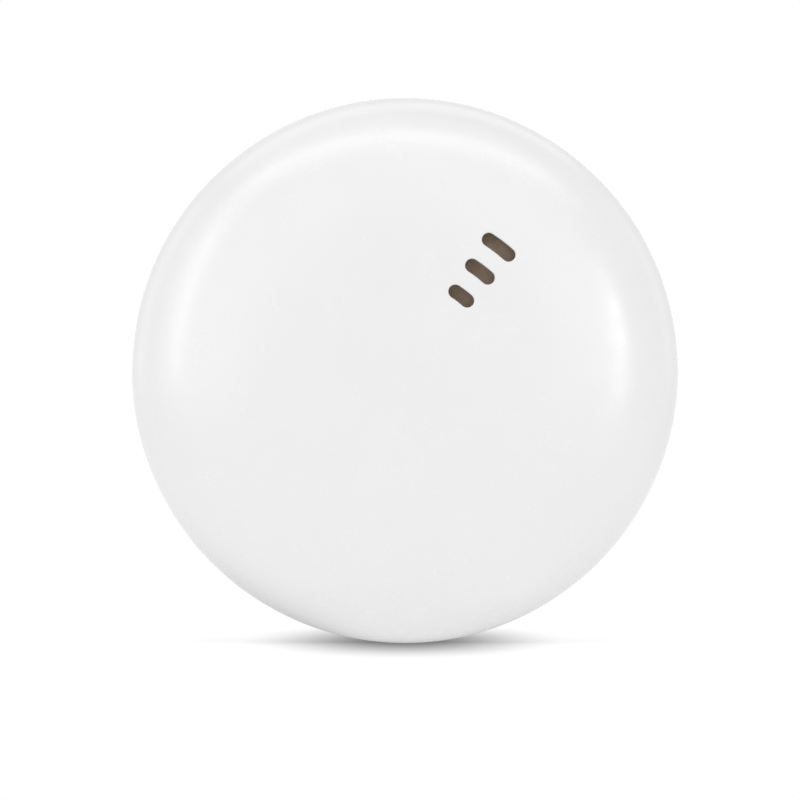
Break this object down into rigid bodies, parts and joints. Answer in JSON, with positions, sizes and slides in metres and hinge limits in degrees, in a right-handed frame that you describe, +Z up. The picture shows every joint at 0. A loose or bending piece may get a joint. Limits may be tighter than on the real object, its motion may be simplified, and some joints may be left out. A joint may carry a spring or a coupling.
{
  "type": "smoke alarm",
  "caption": "Round domed smoke alarm with a press-to-test front cover, curved sound slots, a smoke gap round its edge and a twist-off bayonet base for a wall or ceiling.",
  "frame": {"origin": "centre of the mounting base's rear face, which lies on the wall", "axes": "seen from the room +X is right and +Z is up; the front cover faces the room along -Y"},
  "size_m": [0.11, 0.038, 0.11],
  "materials": {
    "cover_white": "satin to gloss moulded white",
    "housing_white": "fine moulded texture, white",
    "base_white": "fine moulded texture, white",
    "door_white": "fine moulded texture, white",
    "inner_white": "matte white",
    "guard_white": "matte white",
    "slider_grey": "matte grey, low friction",
    "cell_sleeve": "shrink sleeve, plain blue",
    "contact_steel": "nickel plated strip",
    "screw_steel": "zinc plated",
    "spring_steel": "bright spring wire",
    "screen_steel": "etched sheet",
    "board_green": "solder resist, green",
    "chip_black": "moulded, black",
    "can_metal": "drawn can",
    "ferrite_grey": "ground ferrite",
    "chip_ceramic": "fired ceramic, tan",
    "lamp_clear": "clear resin",
    "guide_clear": "clear moulded",
    "sensor_dark": "dark filtered resin",
    "switch_black": "moulded, black",
    "plunger_white": "moulded, pale",
    "chamber_black": "light-absorbing black",
    "sounder_black": "matte black",
    "brass_plate": "rolled sheet",
    "ceramic_pale": "fired ceramic, silvered"
  },
  "bodies": {
    "mounting_base": {"mounting_base": "base_white"},
    "power_slider": {"power_slider": "slider_grey", "power_contact": "contact_steel"},
    "alarm_head": {"rear_housing": "housing_white", "battery": "cell_sleeve", "battery_positive_contact": "contact_steel", "battery_negative_contact": "contact_steel", "circuit_board": "board_green", "board_screws": "screw_steel", "inner_cover_screws": "screw_steel", "microcontroller": "chip_black", "alarm_chip": "chip_black", "timing_crystal": "can_metal", "boost_inductor": "ferrite_grey", "capacitors": "can_metal", "chip_components": "chip_ceramic", "indicator_led": "lamp_clear", "light_guide": "guide_clear", "test_switch_body": "switch_black", "chamber_base": "chamber_black", "infrared_led": "lamp_clear", "photodiode": "sensor_dark", "chamber_labyrinth": "chamber_black", "insect_screen": "screen_steel", "inner_cover": "inner_white", "inlet_guard": "guard_white", "sounder_housing": "sounder_black", "sounder_retainer": "sounder_black", "piezo_plate": "brass_plate", "piezo_ceramic": "ceramic_pale", "piezo_contacts": "contact_steel", "cover_springs": "spring_steel"},
    "front_cover": {"front_cover": "cover_white"},
    "test_plunger": {"test_switch_plunger": "plunger_white"},
    "battery_cover": {"battery_cover": "door_white"}
  },
  "joints": [
    {"name": "lift_off", "type": "slide", "parent": "mounting_base", "child": "power_slider", "axis": [0, -1, 0], "range_m": [0, 0.045]},
    {"name": "twist_lock", "type": "hinge", "parent": "power_slider", "child": "alarm_head", "pos_m": [0, 0, 0], "axis": [0, 1, 0], "range_deg": [0, 20]},
    {"name": "cover_press", "type": "slide", "parent": "alarm_head", "child": "front_cover", "axis": [0, 1, 0], "range_m": [0, 0.0008], "stiffness_N_per_m": 3000, "springref_m": -0.001, "deforming": ["cover_springs"]},
    {"name": "test_plunger_travel", "type": "slide", "parent": "alarm_head", "child": "test_plunger", "axis": [0, 1, 0], "range_m": [0, 0.0008]},
    {"name": "battery_cover_slide", "type": "slide", "parent": "alarm_head", "child": "battery_cover", "axis": [0, 0, 1], "range_m": [0, 0.006]}
  ],
  "couplings": [
    {"joint": "test_plunger_travel", "follows": "cover_press", "ratio": 1}
  ]
}
